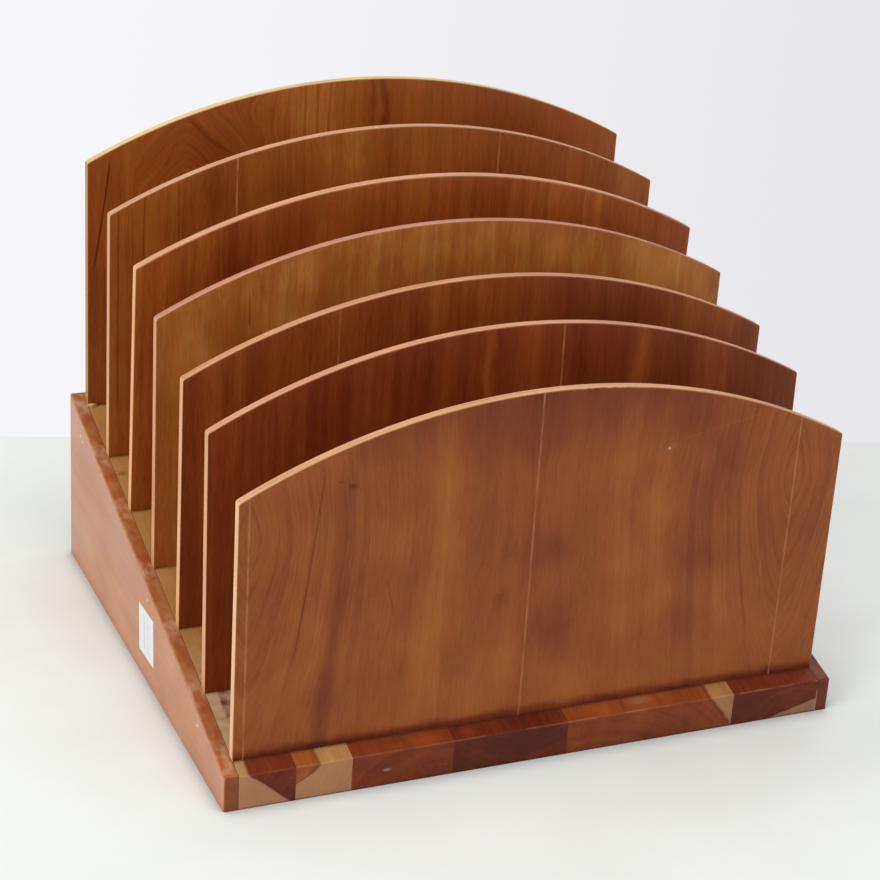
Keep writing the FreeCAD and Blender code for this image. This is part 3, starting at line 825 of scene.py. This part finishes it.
def add_dust(finish, paint, place, rearward):
    """Dust in the first slots; from the second panel on the wood itself is more golden."""
    kept = finish.fade(rearward, SECOND_PANEL - 4.0, SECOND_PANEL + 4.0)
    paint = finish.blend(kept, paint, GOLDEN, way="MULTIPLY")
    behind = finish.fade(rearward, FIRST_PANEL, FIRST_PANEL + 6.0)
    settled = finish.fade(rearward, SECOND_PANEL, FIRST_PANEL + 2 * PITCH, 0.60, 0.05)
    clumps = finish.fade(finish.grain(place, (5.0, 5.0, 5.0), 0.5, 6.0, 4.0), -0.25, 0.15)
    return finish.blend(finish.product(behind, settled, clumps), paint, DUST)


def add_dirt_and_shade(finish, paint, rearward, stands):
    """Dark corners at the panels' feet, dirt and painted shade, and a dark lower edge where the
    floor stands.
    """
    to_foot = to_panel_middle(finish, rearward)
    # darker in the corners at the panels' feet: dirt and painted shade
    corner = finish.fade(to_foot, HALF_PANEL, HALF_PANEL + 1.8, 0.55, 0.0)
    paint = finish.blend(corner, paint, FOOT_DIRT_AND_SHADE)
    return finish.blend(finish.fade(stands, 0.2, 1.3, 0.5, 0.0), paint, SOLE_DIRT)


def rub_and_highlight_corner(finish, paint, place, through, rearward, number):
    """The front's top corner rubbed pale in places, with a painted highlight, a little more with
    each stave.
    """
    # pale along the front's top arris: rubbing and a painted highlight
    corner = finish.fade(finish.math("MAXIMUM", through, rearward), 0.1, 0.8,
                         0.04 + 0.03 * number, 0.0)
    swing = finish.grain(place, (14.0, 14.0, 14.0), 0.5, number + 0.5, 3.0)
    places = finish.fade(swing, -0.1, 0.1)
    return finish.blend(finish.product(corner, places), paint, RUBBED_AND_HIGHLIGHT)


def add_seam(finish, paint, across, through, rearward, number):
    """The seam along a rail: dark on the top, filled lower down the front."""
    to_rail = finish.math("SUBTRACT", RAIL_INSIDE, finish.math("ABSOLUTE", across))
    seam = finish.fade(to_rail, 0.15, 0.5, 0.8, 0.0)
    down_front = finish.math("SUBTRACT", through, rearward)
    filled = finish.fade(down_front, 4.0, 7.0, 0.0, number / 6 - 0.2)
    return finish.blend(seam, paint, finish.blend(filled, SEAM, SEAM_FILLER))


print("dust, dirt and wear ready")

# %% Staves dressed
for number, stave in STAVES.items():
    finish, place, (across, through, along), paint, relief = solid_finish(
        "stave_%d" % number, FLOOR_ORIGIN, FLOOR_AXES, stave["wood"], stave["pith"],
        number * 5.1, border=stave.get("border"))
    plan = finish.point(across, along)
    for *ellipse, code in stave.get("spots", ()):
        paint = finish.blend(patch(finish, plan, *ellipse), paint, colour(code))
    rearward = finish.math("MULTIPLY_ADD", along, math.cos(SLOPE),
                           finish.product(through, math.sin(SLOPE)))
    sunk = finish.product(through, math.cos(SLOPE))
    raised = finish.product(along, math.sin(SLOPE))
    stands = finish.total(finish.math("SUBTRACT", raised, sunk), FRONT_TOP / MM)
    paint = add_dust(finish, paint, place, rearward)
    paint = add_dirt_and_shade(finish, paint, rearward, stands)
    if "scuff" in stave:
        front_face = finish.point(across, stands)
        paint = finish.blend(patch(finish, front_face, *stave["scuff"]), paint, SCUFFED)
    paint = rub_and_highlight_corner(finish, paint, place, through, rearward, number)
    paint = add_seam(finish, paint, across, through, rearward, number)
    dress("floor_stave_%d" % number, finish.wire(paint, relief, 0.04))
print("staves:", len(STAVES))

# %% [markdown]
# ## The side rails
#
# The rails are the same solid wood with a higher polish. The left one has a pale painted sheen
# outside, where it faces the window. Both have a red front end, and stains and dust on their top,
# with most of the dust close to the panels.

# %% Side rails
PAINTED_SHEEN = colour("dcbcae")
RAIL_END = colour("63240c")
RAILS = {
    "left": {"outward": -1, "wood": (0.65, 0.0), "pith": (-40, 30, 0.10), "dust": 0.50,
             "painted_sheen": 0.12, "stain": "93401a"},
    "right": {"outward": 1, "wood": (0.31, 0.3), "pith": (-60, 10, -0.08), "dust": 0.08,
              "painted_sheen": 0.0, "stain": "5f2a1a"},
}
for side, rail in RAILS.items():
    out = RIGHT * rail["outward"]
    origin = Vector((rail["outward"] * HALF_WIDTH * MM, FRONT, 0.0))
    finish, place, parts, paint, relief = solid_finish(
        side + "_rail", origin, (UPWARD, out, REARWARD), rail["wood"], rail["pith"],
        17.0 + rail["outward"], lively=0.5, gloss=0.3, roughness=0.30)
    # a pale painted sheen on the outer face, where it faces the window
    patchy_sheen = finish.fade(finish.grain(place, (26.0, 26.0, 50.0), 0.5, 9.0, 3.0),
                           -0.2, 0.2, 0.6, 1.4)
    outside = finish.fade(finish.facing(out), 0.5, 0.9, 0.0, rail["painted_sheen"])
    paint = finish.blend(finish.product(outside, patchy_sheen), paint, PAINTED_SHEEN)
    ending = finish.fade(finish.facing(-REARWARD), 0.5, 0.8, 0.0, 0.6)
    paint = finish.blend(ending, paint, RAIL_END)
    top = finish.fade(finish.facing(UPWARD), 0.5, 0.9)
    stains = finish.fade(finish.grain(place, (7.0, 7.0, 16.0), 0.5, 5.0, 3.0),
                         -0.15, 0.15, 0.15, 0.7)
    paint = finish.blend(finish.product(top, stains), paint, colour(rail["stain"]))
    near = finish.fade(to_panel_middle(finish, parts[2]), HALF_PANEL, 15.0,
                       rail["dust"], 0.3 * rail["dust"])
    clumps = finish.fade(finish.grain(place, (5.0, 5.0, 7.0), 0.5, 3.0, 4.0), -0.14, 0.18)
    paint = finish.blend(finish.product(near, top, clumps), paint, DUST)
    dress(side + "_side_rail", finish.wire(paint, relief, 0.015))
print("rails dusted every %.1f mm" % PITCH)

# %% [markdown]
# ## Hidden wood, brads, filler and paper
#
# Under the floor the wood is sawn and bare. The brads are steel and hardly show, because each head
# is covered by a dot of pale filler. The square of paper is blank but for two ruled lines, and is
# stuck on a little crooked.

# %% Sawn wood, steel and filler
SAWN_PITH = (20, -60, 0.05)
SAWN = {"rear_board": (0.52, (UPWARD, REARWARD, RIGHT)),
        "left_glue_block": (0.62, (RIGHT, REARWARD, UPWARD)),
        "right_glue_block": (0.60, (RIGHT, REARWARD, UPWARD))}
for name, (tone, axes) in SAWN.items():
    finish, _, _, paint, relief = solid_finish(
        name, Vector(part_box(name)[0]), axes, (tone, 0.2), SAWN_PITH, 29.0 + tone * 10, lively=1.0)
    dress(name, finish.wire(paint, relief, 0.10))

for side in ("left", "right"):
    steel = Finish(side + "_brad_steel", 0.35, 0.5)
    steel.shader.inputs["Metallic"].default_value = 1.0
    spots = steel.grain(steel.place(ORIGIN)[0], (0.6, 0.6, 0.6), 0.5, 1.0, 3.0)
    dress(side + "_brads", steel.wire(steel.speckled(spots, "6f6a64", "b9b6b0"), spots, 0.02))
    putty = Finish(side + "_filler", 0.7, 0.2)
    grit = putty.grain(putty.place(ORIGIN)[0], (0.3, 0.3, 0.3), 0.5, 2.0, 3.0)
    dress(side + "_brad_fillers", putty.wire(putty.speckled(grit, "d8ae86", "f4d8b4"), grit, 0.05))
print("sawn pieces:", len(SAWN))

# %% Paper
PAPER_TILT = math.radians(-3.0)
RULE_FROM_MIDDLE = 3.5
RULE_REACH = 9.5
paper = Finish("blank_paper", 0.6, 0.3)
middle = (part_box("blank_sticker")[0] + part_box("blank_sticker")[1]) / 2
paper_rearward = Vector((0.0, math.cos(PAPER_TILT), math.sin(PAPER_TILT)))
paper_upward = Vector((0.0, -math.sin(PAPER_TILT), math.cos(PAPER_TILT)))
place, (_, along, height) = paper.place(middle, RIGHT, paper_rearward, paper_upward)
rules = []
for offset in (-RULE_FROM_MIDDLE, RULE_FROM_MIDDLE):
    rules.append(paper.fade(paper.gap(along, offset), 0.25, 0.5, 0.55, 0.0))
inside = paper.fade(paper.math("ABSOLUTE", height), RULE_REACH, RULE_REACH + 0.5, 1.0, 0.0)
fibres = paper.grain(place, (1.5, 1.5, 1.5), 0.5, 4.0, 4.0)
white = paper.speckled(fibres, "c8cacb", "dfe1e2")
ruled = paper.product(paper.total(*rules), inside)
dress("blank_sticker", paper.wire(paper.blend(ruled, white, colour("6d7078")), fibres, 0.03))
print("ruled lines:", len(rules))

# %% [markdown]
# ## A bead of squeezed-out glue
#
# At the rear panel's left foot a bead of glue has dried on the floor, yellow and half clear. It is
# a small ball of vertices pushed about by noise and flattened, which is quicker than sculpting,
# and it sits half in the corner so that it touches panel, floor and rail.

# %% Glue bead
BEAD_RADII = (2.4, 1.3, 1.5)
LUMP_SHARE = 0.35
LUMP_SCALE = 1.6
LUMP_SHIFT = Vector((3.0, 1.0, 2.0))
foot = panel_frame(PANEL_COUNT)[0]
bead_centre = Vector((-HALF_WIDTH * MM + 2.2 * MM, foot.y - 0.9 * MM, foot.z + 0.4 * MM))
bead_mesh = bpy.data.meshes.new("glue_bead")
builder = bmesh.new()
bmesh.ops.create_icosphere(builder, subdivisions=4, radius=1.0)
for vertex in builder.verts:
    lump = 1.0 + LUMP_SHARE * noise.noise(vertex.co * LUMP_SCALE + LUMP_SHIFT)
    flattened = Vector([part * radius for part, radius in zip(vertex.co, BEAD_RADII)])
    vertex.co = flattened * lump * MM
builder.to_mesh(bead_mesh)
builder.free()
bead_mesh.shade_smooth()
bead = bpy.data.objects.new("glue_bead", bead_mesh)
bead.location = bead_centre
bpy.context.scene.collection.objects.link(bead)
glue = Finish("dried_glue", 0.25, 0.5)
murk = glue.grain(glue.place(bead_centre)[0], (1.0, 1.0, 1.0), 0.5, 1.0, 3.0)
bead_mesh.materials.append(glue.wire(glue.speckled(murk, "a87a35", "e3c37c"), murk, 0.05))
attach(bead, "root")
print("glue bead at %.1f %.1f %.1f mm" % tuple(bead_centre / MM))

# %% [markdown]
# ## Table and wall
#
# The sorter stands on a pale table in front of a white wall. One wide plane does for both: behind
# the table's rear edge it shows the wall's flat white, a shade darker to the right, but only to
# the eye. So nothing stands in the way when the part is looked at from behind. The table's paint
# has two wide patches, given like the floor's spots: a painted shadow to the front right and a
# painted light to the right. It is painted darker towards the window, as painted shade where the
# lamp would make it too bright, and close to the base, as painted contact shade.

# %% Table top
TABLE_SIZE = 40.0
TABLE_TURN = math.radians(-15.9)
TABLE_PAINTED_SHADE_AND_LIGHT = ((150, -185, 230, 75, 0.34, "c4c8c5"), (250, 10, 100, 160, 0.65, "fafdfb"))
WINDOW_SHADE = colour("7d807e")
CONTACT_TONE = colour("6f7a80")
CONTACT_REACH = 12.0
bpy.ops.mesh.primitive_plane_add(size=TABLE_SIZE)
table = bpy.context.object
table.name = "table"
top = Finish("table_top", 0.5, 0.2)
sideways = Vector((math.cos(TABLE_TURN), math.sin(TABLE_TURN), 0.0))
away = Vector((-sideways.y, sideways.x, 0.0))
place, (across, _, along) = top.place(ORIGIN, sideways, UPWARD, away)
smudge = top.grain(place, (60.0, 60.0, 60.0), 0.5, 2.0, 4.0)
paint = top.speckled(smudge, "e7ebe7", "eef2ef")
x, y, _ = top.place(ORIGIN)[1]
plan = top.point(x, y)
# a painted shadow in front to the right and a painted light further right
for *ellipse, code in TABLE_PAINTED_SHADE_AND_LIGHT:
    paint = top.blend(patch(top, plan, *ellipse), paint, colour(code))
# painted shade towards the window at the left, where the lamp is near
painted_window_shade = top.fade(x, -2000.0, -340.0, 0.62, 0.0)
paint = top.blend(painted_window_shade, paint, WINDOW_SHADE)
open_sky = top.add("ShaderNodeAmbientOcclusion", (("Distance", CONTACT_REACH * MM),), "AO",
                   samples=8)
contact = top.fade(open_sky, 0.45, 1.0, 0.44, 0.0)
beside_rail = top.fade(x, -RAIL_INSIDE - 14.0, -RAIL_INSIDE - 6.0, 0.35, 1.0)
top.wire(top.blend(top.product(contact, beside_rail), paint, CONTACT_TONE))
print("table tones:", len(TABLE_PAINTED_SHADE_AND_LIGHT))

# %% Wall
WALL_WHITE = colour("efeff0")
WALL_LIT = colour("f6f6fa")
WALL_DIM = colour("e8e7eb")
TABLE_REAR = 267.0
EYE_ACROSS = -165.0
EYE_ALONG = -1109.0
EYE_RAYS = ("Is Camera Ray", "Is Glossy Ray", "Is Transmission Ray")


def to_eye(nodes):
    """1 for a ray that reaches the eye straight, mirrored or through something clear, else 0."""
    rays = [nodes.add("ShaderNodeLightPath", (), ray) for ray in EYE_RAYS]
    return nodes.math("MINIMUM", nodes.total(*rays), 1.0)


beyond = top.fade(along, TABLE_REAR, TABLE_REAR + 2.0)
view_turn = top.math("DIVIDE", top.total(across, -EYE_ACROSS), top.total(along, -EYE_ALONG))
wall_tone = top.blend(top.fade(view_turn, -0.05, 0.35), WALL_LIT, WALL_DIM)
wall = top.add("ShaderNodeEmission", (("Color", wall_tone), ("Strength", 1.0)))
seen = top.product(to_eye(top), beyond)
surface = top.add("ShaderNodeMixShader", enumerate((seen, top.shader.outputs[0], wall)))
output = top.tree.nodes["Material Output"]
top.tree.links.new(surface, output.inputs["Surface"])
table.data.materials.append(top.material)
print("table ends %.0f mm behind the middle" % TABLE_REAR)

# %% [markdown]
# ## Light
#
# The light is a bright room: an even sky, a window to the left and a soft lamp overhead. The eye
# sees the wall's flat white in place of the sky, so the shadows alone set the sky's strength.

# %% Room
SKY_STRENGTH = 0.555
world = bpy.data.worlds.new("room")
world.use_nodes = True
bpy.context.scene.world = world
room = Nodes(world.node_tree)
sky = room.tree.nodes["Background"]
sky.inputs["Color"].default_value = (1.0, 1.0, 1.0, 1.0)
sky.inputs["Strength"].default_value = SKY_STRENGTH
far_wall = room.add("ShaderNodeBackground", (("Color", WALL_WHITE),))
room_light = room.add("ShaderNodeMixShader", enumerate((to_eye(room), sky.outputs[0], far_wall)))
room.tree.links.new(room_light, room.tree.nodes["World Output"].inputs["Surface"])
print("sky strength", SKY_STRENGTH)

# %% Lamps
LAMPS = (
    ("window_left", (-3.4, -1.1, 1.8), 3.4, 104.0),
    ("overhead", (0.2, -0.40, 2.3), 2.0, 19.5),
)
LAMP_AIM = Vector((0.0, 0.0, 0.1))
for name, spot, size, watts in LAMPS:
    lamp = bpy.data.lights.new(name, "AREA")
    lamp.shape = "DISK"
    lamp.size = size
    lamp.energy = watts
    holder = bpy.data.objects.new(name, lamp)
    holder.location = spot
    holder.rotation_euler = (LAMP_AIM - Vector(spot)).to_track_quat("-Z", "Y").to_euler()
    bpy.context.scene.collection.objects.link(holder)
print("lamps:", len(LAMPS))

# %% [markdown]
# ## Camera
#
# The camera stands in front of the left corner and looks down into the slots. It is given by where
# it stands and by three turns: how far it swings right, how far it looks down, and a slight roll.

# %% Camera
camera_data = bpy.data.cameras.new("camera")
camera_data.sensor_width = 36.0
camera_data.lens = 91.25
camera = bpy.data.objects.new("camera", camera_data)
CAMERA_SPOT = (-0.4623, -1.0218, 0.5932)
SWING, LOOK_DOWN, ROLL = math.radians(24.27), math.radians(23.09), math.radians(3.7)
turn = (Matrix.Rotation(-SWING, 4, "Z") @ Matrix.Rotation(math.pi / 2 - LOOK_DOWN, 4, "X")
        @ Matrix.Rotation(ROLL, 4, "Z"))
camera.matrix_world = Matrix.Translation(CAMERA_SPOT) @ turn
bpy.context.scene.collection.objects.link(camera)
bpy.context.scene.camera = camera
bpy.context.scene.view_settings.view_transform = "Standard"
print("camera at", CAMERA_SPOT)
